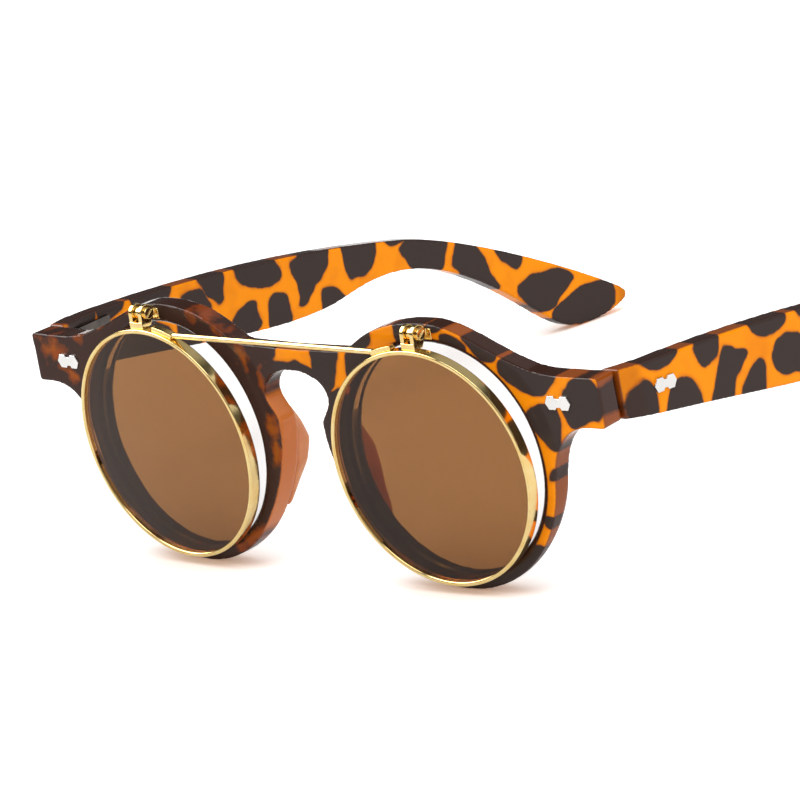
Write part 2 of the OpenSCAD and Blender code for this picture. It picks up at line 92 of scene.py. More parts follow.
def feed(tree, socket, source):
    """Wires a socket to a source, or sets it to a plain value."""
    if isinstance(source, bpy.types.NodeSocket):
        tree.links.new(source, socket)
    else:
        socket.default_value = source


def work_out(tree, operation, first, second=0.0, clamp=False):
    made = add_node(tree, "Math", operation=operation, use_clamp=clamp)
    feed(tree, made.inputs[0], first)
    feed(tree, made.inputs[1], second)
    return made.outputs[0]


def spread_range(tree, value, low, high, to_low=0.0, to_high=1.0, smooth=False):
    made = add_node(tree, "MapRange", interpolation_type="SMOOTHSTEP" if smooth else "LINEAR")
    feed(tree, made.inputs["Value"], value)
    feed(tree, made.inputs["From Min"], low)
    feed(tree, made.inputs["From Max"], high)
    feed(tree, made.inputs["To Min"], to_low)
    feed(tree, made.inputs["To Max"], to_high)
    return made.outputs["Result"]


def blend_colours(tree, share, first, second):
    made = add_node(tree, "Mix", data_type="RGBA")
    feed(tree, made.inputs["Factor"], share)
    feed(tree, made.inputs[6], first)
    feed(tree, made.inputs[7], second)
    return made.outputs[2]


def attribute(tree, name):
    return add_node(tree, "Attribute", attribute_name=name).outputs["Fac"]


def plain_bsdf(tree, metallic=0.0, ior=1.5):
    made = add_node(tree, "BsdfPrincipled")
    made.inputs["Metallic"].default_value = metallic
    made.inputs["IOR"].default_value = ior
    return made


def finish_surface(tree, shader):
    out = add_node(tree, "OutputMaterial")
    tree.links.new(shader, out.inputs["Surface"])


# Mottle: cloudy lumps of one size, fixed to the piece

def mottle_group():
    group = bpy.data.node_groups.new("mottle", "ShaderNodeTree")
    for name, value in (("Lumps per Metre", 200.0), ("Detail", 2.0)):
        made = group.interface.new_socket(name, in_out="INPUT", socket_type="NodeSocketFloat")
        made.default_value = value
    group.interface.new_socket("Mottle", in_out="OUTPUT", socket_type="NodeSocketFloat")
    start = group.nodes.new("NodeGroupInput")
    end = group.nodes.new("NodeGroupOutput")
    where = add_node(group, "TexCoord")
    lumps = add_node(group, "TexNoise")
    group.links.new(where.outputs["Object"], lumps.inputs["Vector"])
    group.links.new(start.outputs["Lumps per Metre"], lumps.inputs["Scale"])
    group.links.new(start.outputs["Detail"], lumps.inputs["Detail"])
    group.links.new(lumps.outputs["Fac"], end.inputs["Mottle"])
    return group


mottle_effect = mottle_group()


def mottle(tree, size, detail=2.0):
    made = add_node(tree, "Group")
    made.node_tree = mottle_effect
    made.inputs["Lumps per Metre"].default_value = 1 / size
    made.inputs["Detail"].default_value = detail
    return made.outputs["Mottle"]


# What the mottle ranges over on most of a surface
mottle_low = 0.35
mottle_high = 0.65


def polished(tree, size, least, most):
    """The roughness that handling and buffing leave on a shiny surface."""
    return spread_range(tree, mottle(tree, size, 3.0), mottle_low, mottle_high, least, most)


# Finishes

amber_bright = (1.0, 0.305, 0.005, 1)
amber_deep = (0.62, 0.13, 0.008, 1)
amber_maroon = (0.21, 0.040, 0.010, 1)
# Painted shade: the deep red-brown that amber walls and edges are darkened to
amber_wall_shade = (0.20, 0.036, 0.005, 1)
tortoise_dark = (0.050, 0.035, 0.031, 1)
tortoise_maroon = (0.054, 0.026, 0.020, 1)
# Painted shade: the near-black that dark cells are darkened to on walls and edges
dark_wall_shade = (0.036, 0.011, 0.006, 1)
pad_amber = (0.64, 0.19, 0.045, 1)
pad_thin = (0.76, 0.30, 0.10, 1)
gold_pale = (1.0, 0.80, 0.38, 1)
gold_deep = (0.93, 0.66, 0.25, 1)
silver_white = (0.93, 0.92, 0.90, 1)
silver_deep = (0.84, 0.83, 0.81, 1)
steel_grey = (0.10, 0.09, 0.085, 1)
steel_worn = (0.16, 0.145, 0.13, 1)
tinted_brown = (0.306, 0.133, 0.038, 1)
clear_white = (1.0, 1.0, 1.0, 1)

# Clouds in the tortoise: the size of each kind, and how far it moves a cell's side or how much
# of the deep amber it brings
fleck_size = 1.2 * mm
fleck_reach = 0.14
blotch_size = 3.5 * mm
blotch_reach = 2.2
cloud_size = 5 * mm
cloud_most = 0.35
# Millimetres over which a cell's side fades, in dull amber and in bright amber
dull_fade = 1.1
bright_fade = 0.15
# Millimetres round a cell in which the amber deepens, and how much it does
shore_reach = 0.6
shore_most = 0.55
# How much of the painted wall shade the amber takes on the walls
wall_shade_most = 0.9
# The shine of the broad faces, and how much of a glossy coat the walls have
face_shine = 0.08
wall_coat = 0.55


def tortoise_material():
    """Amber plastic with dark cells. The attribute cells is the depth in a dark cell; the
    walls-and-edges attribute is one where painted shade darkens the walls and edges and a glossy
    coat is added;
    warmth is one where the amber is bright, and thin is one where light comes through the plastic."""
    material, tree = new_material("tortoise_plastic")
    cells = attribute(tree, "cells")
    wall_shade_and_coat = attribute(tree, "wall_shade_and_coat")
    warmth = attribute(tree, "warmth")
    coolness = work_out(tree, "SUBTRACT", 1.0, warmth)
    flecks = spread_range(tree, mottle(tree, fleck_size), 0.0, 1.0, -fleck_reach, fleck_reach)
    blotches = mottle(tree, blotch_size, 3.0)
    blotches = spread_range(tree, blotches, 0.3, 0.7, -blotch_reach, blotch_reach)
    depth = work_out(tree, "ADD", cells, flecks)
    depth = work_out(tree, "ADD", depth, work_out(tree, "MULTIPLY", blotches, coolness))
    fade = spread_range(tree, warmth, 0.0, 1.0, dull_fade, bright_fade)
    dark_share = spread_range(tree, depth, work_out(tree, "MULTIPLY", fade, -1.0), fade)
    amber = blend_colours(tree, warmth, amber_maroon, amber_bright)
    clouds = spread_range(tree, mottle(tree, cloud_size, 3.0), 0.48, 0.80, 0.0, cloud_most)
    shore = spread_range(tree, cells, -shore_reach, 0.0, 0.0, shore_most)
    deep = blend_colours(tree, warmth, amber_maroon, amber_deep)
    amber = blend_colours(tree, work_out(tree, "ADD", clouds, shore, clamp=True), amber, deep)
    # Painted shade: walls and edges darken towards a deep red-brown and a near-black, and also get
    # a glossy coat
    amber = blend_colours(tree, work_out(tree, "MULTIPLY", wall_shade_and_coat, wall_shade_most), amber, amber_wall_shade)
    dark = blend_colours(tree, coolness, tortoise_dark, tortoise_maroon)
    dark = blend_colours(tree, wall_shade_and_coat, dark, dark_wall_shade)
    thin = attribute(tree, "thin")
    colour = blend_colours(tree, dark_share, amber, dark)
    # Painted light: where light would come through the nose-side walls, they take the lighter pad
    # amber
    colour = blend_colours(tree, thin, colour, pad_amber)
    bsdf = plain_bsdf(tree)
    bsdf.inputs["Specular IOR Level"].default_value = face_shine
    bsdf.inputs["Coat Roughness"].default_value = 0.05
    tree.links.new(work_out(tree, "MULTIPLY", wall_shade_and_coat, wall_coat), bsdf.inputs["Coat Weight"])
    tree.links.new(colour, bsdf.inputs["Base Color"])
    tree.links.new(polished(tree, 6 * mm, 0.05, 0.11), bsdf.inputs["Roughness"])
    finish_surface(tree, bsdf.outputs[0])
    return material


def pad_material():
    """Amber plastic that light enters a little way."""
    material, tree = new_material("amber_plastic")
    bsdf = plain_bsdf(tree)
    lumps = spread_range(tree, mottle(tree, 6 * mm), mottle_low, mottle_high)
    tree.links.new(blend_colours(tree, lumps, pad_amber, pad_thin), bsdf.inputs["Base Color"])
    tree.links.new(polished(tree, 4 * mm, 0.14, 0.24), bsdf.inputs["Roughness"])
    bsdf.inputs["Subsurface Weight"].default_value = 0.4
    bsdf.inputs["Subsurface Radius"].default_value = (1.0, 0.4, 0.15)
    bsdf.inputs["Subsurface Scale"].default_value = 1.5 * mm
    finish_surface(tree, bsdf.outputs[0])
    return material


def metal_material(name, bright, deep, least, most):
    """Metal whose colour wanders between two, and its roughness between least and most."""
    material, tree = new_material(name)
    bsdf = plain_bsdf(tree, metallic=1.0)
    stain = spread_range(tree, mottle(tree, 4 * mm, 3.0), mottle_low, mottle_high)
    tree.links.new(blend_colours(tree, stain, bright, deep), bsdf.inputs["Base Color"])
    tree.links.new(polished(tree, 1.5 * mm, least, most), bsdf.inputs["Roughness"])
    finish_surface(tree, bsdf.outputs[0])
    return material


def lens_material(name, tint, index):
    """Glass that lets the lamps' light through in its own tint."""
    material, tree = new_material(name)
    bsdf = plain_bsdf(tree, ior=index)
    bsdf.inputs["Base Color"].default_value = tint
    bsdf.inputs["Transmission Weight"].default_value = 1.0
    bsdf.inputs["Roughness"].default_value = 0.0
    through = add_node(tree, "BsdfTransparent")
    through.inputs["Color"].default_value = tint
    path = add_node(tree, "LightPath")
    mixed = add_node(tree, "MixShader")
    tree.links.new(path.outputs["Is Shadow Ray"], mixed.inputs["Fac"])
    tree.links.new(bsdf.outputs[0], mixed.inputs[1])
    tree.links.new(through.outputs[0], mixed.inputs[2])
    finish_surface(tree, mixed.outputs[0])
    return material


tortoise = tortoise_material()
pad_plastic = pad_material()
gold = metal_material("gold_metal", gold_pale, gold_deep, least=0.08, most=0.17)
silver = metal_material("rivet_silver", silver_white, silver_deep, least=0.10, most=0.2)
steel = metal_material("steel", steel_grey, steel_worn, least=0.25, most=0.4)
clear_glass = lens_material("clear_lens", clear_white, index=1.15)
tinted_glass = lens_material("tinted_lens", tinted_brown, index=1.33)

# Modelling

# Corners closer than this are one
same_corner = 0.001 * mm


def activate(piece):
    bpy.ops.object.select_all(action="DESELECT")
    piece.select_set(True)
    bpy.context.view_layer.objects.active = piece


def apply_modifier(piece, kind, name, **settings):
    made = piece.modifiers.new(name, kind)
    for key, value in settings.items():
        setattr(made, key, value)
    activate(piece)
    bpy.ops.object.modifier_apply(modifier=name)


def carry(node_name, name):
    """A copy of a CAD node's mesh as a piece of its own, its doubles merged."""
    piece = bpy.data.objects.new(name, nodes[node_name].data.copy())
    scene.collection.objects.link(piece)
    piece.data.materials.clear()
    activate(piece)
    bpy.ops.mesh.customdata_custom_splitnormals_clear()
    bpy.ops.object.mode_set(mode="EDIT")
    bpy.ops.mesh.select_all(action="SELECT")
    bpy.ops.mesh.remove_doubles(threshold=same_corner)
    bpy.ops.object.mode_set(mode="OBJECT")
    return piece


def soften(piece, skin, rounds):
    """Gives a piece an even skin and rounds its edges, as tumbling does to cut plastic."""
    apply_modifier(piece, "REMESH", "even_skin", mode="VOXEL", voxel_size=skin)
    apply_modifier(piece, "SMOOTH", "rounded_edges", factor=0.5, iterations=rounds)
    bpy.ops.object.shade_smooth()


def finish_piece(piece, body, material, node_name):
    """Gives a piece its material, hides the CAD node it stands for and hangs it on the body that
    carries it.
    """
    piece.data.materials.clear()
    piece.data.materials.append(material)
    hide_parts(node_name)
    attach(piece, body)


def piece_points(piece):
    flat = np.empty(3 * len(piece.data.vertices))
    piece.data.vertices.foreach_get("co", flat)
    return flat.reshape(-1, 3)


def piece_normals(piece):
    flat = np.empty(3 * len(piece.data.vertices))
    piece.data.vertex_normals.foreach_get("vector", flat)
    return flat.reshape(-1, 3)


def store(piece, name, values):
    made = piece.data.attributes.new(name, "FLOAT", "POINT")
    made.data.foreach_set("value", np.asarray(values, dtype=np.float32))


def ease(values, low, high):
    """Nothing up to low, one from high on, and a smooth rise between them."""
    share = np.clip((values - low) / (high - low), 0, 1)
    return share * share * (3 - 2 * share)


# Tortoise cells: each is an outline of a few corners in millimetres, drawn as the cells lie on
# the worn glasses. The front's are across and up, the temples' are back and up. Outlines run
# over the edges of a piece, so that a cell wraps round them.

# How far round an outline its depth is worked out, and what holds further out
cell_margin = 3.0
far_away = 60.0
# What the cells grow by, as their corners are cut
corner_growth = 0.4
corner_rounds = 2
# Sizes of the waves in the cells' sides, and how far each sways them
sways = [(5.0, 0.8), (2.0, 0.3)]


def round_corners(corners):
    """Cuts each corner of an outline a quarter of the way along its sides, and those again."""
    for _ in range(corner_rounds):
        ahead = np.roll(corners, -1, axis=0)
        cuts = [0.75 * corners + 0.25 * ahead, 0.25 * corners + 0.75 * ahead]
        corners = np.stack(cuts, axis=1).reshape(-1, 2)
    return corners


def outline_depth(at, outlines):
    """How deep each point lies in an outline, in millimetres; less than nothing is outside."""
    deepest = np.full(len(at), -far_away)
    for outline in outlines:
        corners = round_corners(np.array(outline))
        close = (at > corners.min(0) - cell_margin) & (at < corners.max(0) + cell_margin)
        near = np.nonzero(close.all(1))[0]
        points = at[near]
        nearest = np.full(len(near), far_away)
        inside = np.zeros(len(near), dtype=bool)
        for corner, next_corner in zip(corners, np.roll(corners, -1, axis=0)):
            line = next_corner - corner
            share = np.clip((points - corner) @ line / (line @ line), 0, 1)
            away = np.linalg.norm(points - corner - share[:, None] * line, axis=1)
            nearest = np.minimum(nearest, away)
            if line[1] == 0:
                continue
            beside = (corner[1] > points[:, 1]) != (next_corner[1] > points[:, 1])
            crossing = corner[0] + (points[:, 1] - corner[1]) * line[0] / line[1]
            inside ^= beside & (points[:, 0] < crossing)
        deepest[near] = np.maximum(deepest[near], np.where(inside, nearest, -nearest))
    return deepest


def cell_depths(at, dark, amber):
    """How deep each point lies in a dark cell, in millimetres; less than nothing is amber."""
    swayed = at.copy()
    for size, reach in sways:
        swayed += reach * np.array([
            noise.noise_vector(Vector((x / size, z / size, size)))[:2] for x, z in at
        ])
    return np.minimum(outline_depth(swayed, dark) + corner_growth, -outline_depth(swayed, amber))


front_dark = [
    # Wearer's left
    [(14.6, 19.2), (17.0, 22.6), (20.6, 23.4), (20.2, 21.0), (17.6, 19.0)],
    [(26.6, 27.0), (33.4, 27.0), (32.6, 24.0), (33.2, 21.0), (27.4, 20.0), (26.4, 22.6)],
    [(33.6, 25.6), (37.4, 25.2), (36.6, 23.6), (34.4, 23.6)],
    [(36.6, 22.8), (40.0, 22.6), (42.2, 20.2), (40.8, 19.4), (38.0, 20.6)],
    [(40.9, 23.6), (43.4, 23.6), (48.8, 20.0), (47.6, 18.9), (45.2, 19.0), (43.2, 20.6)],
    [(47.8, 17.0), (50.4, 19.8), (53.4, 20.0), (57.0, 18.4), (61.4, 16.2), (59.4, 14.6),
     (57.4, 13.2), (54.4, 13.2), (51.4, 14.6)],
    [(61.8, 12.4), (63.6, 15.2), (66.4, 16.2), (70.4, 15.6), (70.6, 9.6), (66.0, 8.6),
     (62.8, 7.8), (61.6, 9.8)],
    [(71.1, 20.0), (77.0, 20.0), (77.0, 9.8), (71.2, 10.0)],
    [(53.4, 9.6), (55.4, 10.9), (59.9, 11.2), (60.0, 6.0), (58.4, 2.2), (56.6, 3.8), (54.8, 6.4)],
    [(55.7, -1.9), (56.5, -1.2), (57.2, -1.7), (56.9, -2.8), (55.9, -2.8)],
    [(53.4, -9.5), (54.6, -9.1), (55.3, -10.2), (54.4, -11.6), (53.4, -11.2)],
    [(51.0, -14.2), (53.4, -16.4), (50.0, -24.0), (38.0, -32.0), (18.0, -32.0), (4.0, -24.0),
     (-2.0, -12.0), (-3.0, 0.0), (0.0, 8.0), (5.5, 10.6), (9.4, 10.8), (11.6, 12.6), (14.8, 8.0),
     (15.5, -4.0), (22.0, -14.0), (34.0, -18.5), (46.0, -16.5)],
    [(14.2, 19.6), (19.0, 19.4), (22.0, 17.0), (18.0, 12.0), (13.2, 13.2), (13.4, 16.4)],
    # Bridge
    [(6.4, 22.0), (12.0, 22.0), (11.7, 18.0), (10.2, 14.6), (9.0, 11.0), (4.5, 11.0), (6.2, 15.6)],
    [(-8.0, 16.4), (-2.6, 16.2), (1.0, 16.4), (4.2, 15.8), (6.8, 14.8), (6.8, 11.0), (-8.0, 11.0)],
    # Wearer's right, dark all over
    [(-90.0, 40.0), (-3.0, 40.0), (-2.6, 16.4), (-8.0, 15.0), (-8.0, 11.0), (-2.0, 6.0),
     (-1.0, -12.0), (-4.0, -40.0), (-90.0, -40.0)],
]
front_amber = [
    [(-68.4, 16.2), (-63.4, 16.6), (-61.8, 13.6), (-65.6, 12.8), (-68.6, 13.6)],
    [(-63.6, 10.8), (-60.6, 10.4), (-57.6, 8.0), (-60.2, 8.2)],
    [(-53.0, 21.6), (-49.0, 22.6), (-48.6, 20.8), (-52.2, 19.9)],
    [(-58.6, 19.2), (-52.6, 19.6), (-54.6, 17.6), (-58.2, 17.8)],
    [(-45.6, 25.6), (-39.6, 26.4), (-40.4, 24.2), (-45.0, 23.8)],
    [(-24.6, -20.8), (-19.6, -20.4), (-14.8, -16.6), (-17.8, -16.8), (-23.4, -19.4)],
    [(-8.6, 4.4), (-6.8, 6.0), (-6.6, 1.0), (-8.0, -4.0), (-9.2, -3.4), (-8.4, 1.0)],
    [(-12.6, 17.0), (-11.4, 16.6), (-10.6, 14.2), (-11.6, 14.4)],
    [(-26.0, 25.6), (-20.6, 24.8), (-12.6, 20.8), (-14.4, 20.6), (-20.4, 23.2)],
]
near_temple_dark = [
    [(7.0, 5.5), (13.3, 5.0), (13.2, 9.4), (12.6, 12.0), (10.6, 13.2), (8.4, 12.2), (7.2, 9.4)],
    [(9.2, 18.5), (22.0, 17.5), (20.4, 15.2), (18.0, 14.1), (14.6, 14.3), (11.6, 15.4)],
    [(15.6, 4.0), (25.4, 3.0), (24.4, 6.4), (22.8, 9.2), (20.0, 10.9), (17.4, 9.6), (16.0, 7.2)],
    [(25.2, 17.0), (31.6, 16.5), (31.6, 14.0), (30.4, 12.0), (28.0, 11.0), (25.5, 10.4)],
    [(27.4, 5.0), (29.2, 6.8), (30.2, 10.0), (31.6, 12.0), (33.6, 12.3), (35.0, 10.6), (37.8, 9.2),
     (35.0, 7.0), (32.8, 4.4), (32.4, 2.6), (28.0, 3.0)],
    [(34.8, 3.4), (37.0, 4.6), (39.6, 6.6), (41.2, 7.2), (41.8, 5.0), (41.0, 2.2), (40.0, 0.0),
     (34.8, 0.5)],
    [(38.2, 16.5), (49.2, 15.0), (48.6, 11.6), (47.0, 10.3), (43.6, 10.6), (40.6, 12.2)],
    [(43.6, 7.4), (47.0, 8.6), (50.4, 9.0), (53.6, 7.4), (55.0, 4.8), (52.6, 2.0), (48.4, 2.0),
     (45.4, 3.2)],
    [(51.8, 15.0), (58.2, 14.5), (57.0, 12.0), (53.6, 11.0), (52.2, 12.6)],
    [(57.4, 6.6), (61.2, 8.0), (63.4, 5.2), (61.8, 1.6), (58.2, 0.6), (58.4, 3.6)],
    [(61.8, 14.5), (70.4, 12.6), (69.2, 8.8), (66.0, 7.8), (63.8, 10.6)],
    [(64.4, 2.6), (67.4, 5.4), (70.4, 4.2), (70.2, 0.4), (66.6, -4.2), (63.2, -4.0)],
    [(72.8, 7.4), (75.8, 9.0), (78.8, 5.6), (77.0, 1.6), (73.6, 2.2), (72.0, 4.8)],
    [(72.4, -0.6), (76.4, -0.4), (79.6, -4.5), (72.0, -5.0)],
    [(79.4, 11.0), (87.2, 9.0), (85.6, 4.8), (82.6, 4.0), (80.8, 6.8)],
    [(81.0, 1.6), (85.0, 2.6), (88.2, 0.4), (88.6, -3.5), (81.6, -4.5)],
    [(88.0, 3.4), (90.4, 5.6), (93.6, 7.0), (95.6, 2.6), (92.6, 0.6), (89.4, 1.4)],
    [(91.8, -4.0), (93.4, -1.4), (98.2, 0.4), (101.4, -1.4), (100.4, -5.5)],
    [(98.6, 3.6), (100.4, 6.0), (106.4, 4.4), (105.2, 0.4), (101.2, 1.0)],
    [(103.6, -2.4), (107.8, -1.4), (109.4, -4.2), (107.0, -8.0)],
    [(108.6, 2.4), (114.4, 0.4), (114.8, -4.2), (111.6, -6.2), (110.4, -1.6)],
    [(112.4, -9.4), (115.8, -7.0), (119.6, -9.4), (120.4, -14.0), (115.0, -13.0)],
    [(117.0, -1.4), (122.0, -4.2), (122.4, -8.2), (118.6, -6.2)],
    [(122.4, -10.6), (127.0, -10.2), (129.2, -14.0), (127.0, -19.0), (123.6, -16.5)],
    [(126.0, -6.4), (133.4, -10.0), (131.8, -13.4), (128.4, -10.6)],
    [(130.2, -17.2), (134.6, -15.4), (137.6, -18.6), (136.0, -23.4), (131.8, -23.5)],
    [(137.0, -13.0), (144.6, -17.6), (141.4, -20.6), (138.2, -17.6)],
    [(138.6, -22.4), (143.2, -22.6), (148.6, -20.2), (151.2, -22.8), (149.4, -27.6), (143.6, -28.8),
     (138.8, -27.8)],
]
far_temple_dark = [
    [(-3.0, 18.0), (4.5, 18.0), (5.5, 13.0), (3.6, 8.0), (-3.0, 6.5)],
    [(8.0, 18.0), (17.0, 17.5), (15.4, 13.2), (11.6, 12.4), (9.0, 14.0)],
    [(7.6, 10.2), (11.6, 9.6), (14.6, 6.2), (12.4, 3.6), (8.0, 4.6)],
    [(16.2, 10.4), (20.4, 12.6), (25.0, 11.2), (27.0, 8.6), (26.8, 1.0), (22.0, 1.0), (16.8, 1.6),
     (16.8, 7.0)],
    [(17.0, 18.0), (24.8, 17.6), (24.4, 15.8), (23.6, 14.2), (21.4, 13.4), (17.4, 13.8)],
    [(25.6, 10.4), (30.0, 10.2), (34.6, 6.4), (35.6, 2.0), (30.6, 0.0), (26.4, 1.0), (26.2, 5.6)],
    [(26.0, 17.0), (37.6, 16.0), (36.0, 13.4), (33.0, 12.2), (28.0, 12.6), (26.4, 14.0)],
    [(36.4, 10.8), (42.0, 12.6), (45.0, 9.4), (45.4, 4.0), (41.0, 1.0), (37.0, 2.0)],
    [(43.6, 15.5), (50.0, 15.0), (49.6, 10.4), (48.8, 6.4), (46.0, 8.8), (44.0, 11.6)],
    [(52.8, 15.0), (61.2, 13.6), (63.5, 10.4), (65.4, 7.4), (62.0, 6.5), (57.5, 7.2), (54.2, 9.4)],
    [(59.2, -2.5), (66.0, -2.5), (65.8, 0.6), (64.6, 3.2), (62.6, 4.6), (61.0, 3.6), (59.9, 1.2)],
    [(49.6, -1.5), (57.0, -1.5), (56.6, 1.5), (56.9, 4.2), (54.0, 4.7), (51.6, 4.3), (49.8, 2.6)],
    [(67.8, 8.3), (71.0, 9.3), (74.6, 12.0), (79.2, 11.0), (78.2, 7.6), (75.6, 3.9), (72.0, 1.4),
     (68.0, -0.8), (68.9, 2.4), (69.4, 5.4)],
    [(74.0, -4.0), (80.9, -3.0), (79.0, -0.6), (76.8, 0.8), (75.2, 0.8), (74.6, -0.6)],
    [(83.5, 10.0), (92.2, 8.0), (91.4, 5.4), (90.2, 2.6), (89.2, 1.0), (86.0, 0.2), (83.4, 0.4),
     (82.0, 3.0), (82.2, 6.2)],
    [(94.0, 6.4), (101.5, 5.0), (99.8, 3.3), (97.4, 3.1), (94.8, 3.2)],
    [(97.2, 0.9), (99.0, 2.4), (101.0, 4.0), (106.0, 3.4), (110.6, 0.8), (109.4, -1.8),
     (108.0, -5.5), (104.0, -5.0), (99.6, -2.2)],
    [(113.2, 0.0), (116.8, -2.4), (118.2, -6.2), (119.6, -9.8), (122.4, -14.8), (117.0, -13.0),
     (110.6, -6.6), (111.4, -4.6)],
    [(121.8, -4.0), (125.5, -5.0), (129.2, -9.4), (127.8, -11.5), (125.2, -10.4), (123.4, -8.4)],
    [(125.6, -15.9), (128.6, -14.6), (132.5, -14.4), (137.0, -15.2), (141.4, -17.4), (139.2, -18.8),
     (136.6, -20.2), (134.2, -23.0), (131.0, -22.4)],
    [(133.4, -24.0), (138.0, -21.8), (143.0, -20.7), (147.5, -20.9), (150.8, -22.0), (151.4, -24.4),
     (149.0, -26.6), (145.4, -27.8), (140.0, -27.2), (135.0, -26.4)],
]

# The radius of the front's openings and the rings', and how far the middles of the front's are
# from the middle of the face
opening_r = 21.3 * mm
half_spacing = (lens_left - lens_right).length / 2
# Each pair below is where something starts and where it is full, in millimetres on the worn
# glasses or, for a facing, as the cosine between a face and the piece's broad side
broad_facing = (0.45, 0.85)
# Where the wearer's right side, which is dull, turns bright
bright_ends = (-5.5, -2.6)
dull_warmth = 0.14
# Painted shade: a dark line round each opening, on the broad faces, where the rim meets the lens
opening_shade_ends = (0.7, 1.5)
opening_shade_facing = (0.3, 0.6)
opening_shade_depth = 1.2
# The rims' nose side, where light comes through the walls: across, up and from the opening
nose_side_across = (14.0, 17.0)
nose_side_up = (9.0, 10.4)
nose_side_skin = (0.6, 1.2)
nose_side_facing = (0.6, 0.9)
# The temples' undersides, where walls take little of the painted wall shade and coat and stay as
# bright as faces
under_facing = (0.1, 0.6)
under_bright = 0.9
# Where a temple's amber is duller: by its seam with the front, as painted shade where the temple
# meets
# # the front, and at its tip, which has no dark cells
seam_ends = (9.5, 12.5)
seam_shade = 0.35
tip_end = 149.5
tip_fade = 3.0
tip_depth = 4.0
tip_dull = 0.45


def worn_places(piece):
    return (piece_points(piece) - np.array(worn_middle)) / mm


def mark_front(piece):
    worn = worn_places(piece)
    flat = np.stack([worn @ np.array(across), worn @ np.array(up)], axis=1)
    facing = np.abs(piece_normals(piece) @ np.array(back))
    sideways = np.abs(flat[:, 0])
    from_opening = np.hypot(sideways - half_spacing / mm, flat[:, 1]) - opening_r / mm
    # Painted shade along each opening: the cells are pushed dark there and the walls' painted shade
    # is put on too
    line = (1 - ease(from_opening, *opening_shade_ends)) * ease(facing, *opening_shade_facing)
    depths = cell_depths(flat, front_dark, front_amber)
    store(piece, "cells", np.maximum(depths, opening_shade_depth * (2 * line - 1)))
    # Painted shade and a glossy coat on walls and edges that turn away from the broad side, and on
    # the dark line round each opening
    store(piece, "wall_shade_and_coat", np.maximum(1 - ease(facing, *broad_facing), line))
    bright = ease(flat[:, 0], *bright_ends)
    store(piece, "warmth", dull_warmth + (1 - dull_warmth) * bright)
    nose_side = (1 - ease(sideways, *nose_side_across)) * (1 - ease(flat[:, 1], *nose_side_up))
    nose_side = nose_side * ease(from_opening, *nose_side_skin)
    store(piece, "thin", nose_side * (1 - ease(facing, *nose_side_facing)))


def mark_temple(piece, dark):
    worn = worn_places(piece)
    flat = np.stack([worn @ np.array(back), worn @ np.array(up)], axis=1)
    facing = np.abs(piece_normals(piece) @ np.array(across))
    depths = cell_depths(flat, dark, [])
    under = ease(-piece_normals(piece) @ np.array(up), *under_facing)
    store(piece, "cells", depths - tip_depth * ease(flat[:, 0], tip_end, tip_end + tip_fade))
    # Painted shade and a glossy coat on the temple's walls and edges, mostly left off its
    # undersides
    store(piece, "wall_shade_and_coat", (1 - ease(facing, *broad_facing)) * (1 - under_bright * under))
    # Painted shade: the amber dulls by the seam, where the temple meets the front
    by_seam = 1 - ease(flat[:, 0], *seam_ends)
    by_tip = ease(flat[:, 0], tip_end - 1, tip_end + tip_fade)
    store(piece, "warmth", 1 - tip_dull * by_tip - seam_shade * by_seam)


# The depth in millimetres behind which the front's edges are rounder, and the steps to it
round_from = 1.0
round_step = 0.4
round_steps = 4

# The width of the faces of each piece's even skin, and its rounds of smoothing
front_skin = (0.28 * mm, 6)
back_rounds = 7
temple_skin = (0.28 * mm, 6)
pad_skin = (0.16 * mm, 120)
rivet_skin = (0.07 * mm, 4)
fitting_skin = (0.08 * mm, 3)
screw_skin = (0.06 * mm, 2)
wire_skin = (0.11 * mm, 6)
# What the pads swell by, to make up for their smoothing
pad_swell = 0.3 * mm


def weigh_back_edges(piece):
    """A vertex group of what lies in the back half of the front, whose edges are rounder."""
    depth = worn_places(piece) @ np.array(back)
    group = piece.vertex_groups.new(name="back_edges")
    for level in range(1, round_steps + 1):
        behind = np.nonzero(depth > round_from + round_step * level)[0]
        group.add(behind.tolist(), level / round_steps, "REPLACE")


def front_piece():
    piece = carry("front_frame", "tortoise_front")
    soften(piece, *front_skin)
    weigh_back_edges(piece)
    apply_modifier(piece, "SMOOTH", "round_back", factor=0.5, iterations=back_rounds,
                   vertex_group="back_edges")
    mark_front(piece)
    finish_piece(piece, "front", tortoise, "front_frame")


def temple_piece(side, dark):
    piece = carry("temple_" + side, "tortoise_temple_" + side)
    soften(piece, *temple_skin)
    mark_temple(piece, dark)
    finish_piece(piece, "temple_" + side, tortoise, "temple_" + side)


def pad_piece(side):
    piece = carry("nose_pad_" + side, "pad_" + side)
    soften(piece, *pad_skin)
    apply_modifier(piece, "DISPLACE", "swell", strength=pad_swell, mid_level=0.0)
    finish_piece(piece, "front", pad_plastic, "nose_pad_" + side)


def rivet_piece(node_name, body):
    piece = carry(node_name, node_name + "_head")
    soften(piece, *rivet_skin)
    finish_piece(piece, body, silver, node_name)


def metal_piece(node_name, skin):
    piece = carry(node_name, node_name + "_polished")
    soften(piece, *skin)
    body = "front" if node_name.startswith("flip_lug") else "flip"
    finish_piece(piece, body, gold, node_name)


# Rings and lenses, turned about the axis of their CAD nodes

ring_wall = 0.8 * mm
ring_depth = 2.2 * mm
# The groove that holds the lens, out from the opening and back from the ring's front
groove_depth = 0.39 * mm
groove_from = 0.46 * mm
groove_to = 1.74 * mm
corner_ease = 0.22 * mm
ring_steps = 180
# A hair's breadth, for finding the corners of the section
hair = 0.01 * mm
# Radius of the sphere that a lens is cut from
lens_curve = 260 * mm
lens_steps = 128
lens_circles = 200
# Radius and thickness of each kind of lens
tinted_size = (21.65 * mm, 1.2 * mm)
clear_size = (21.9 * mm, 1.8 * mm)


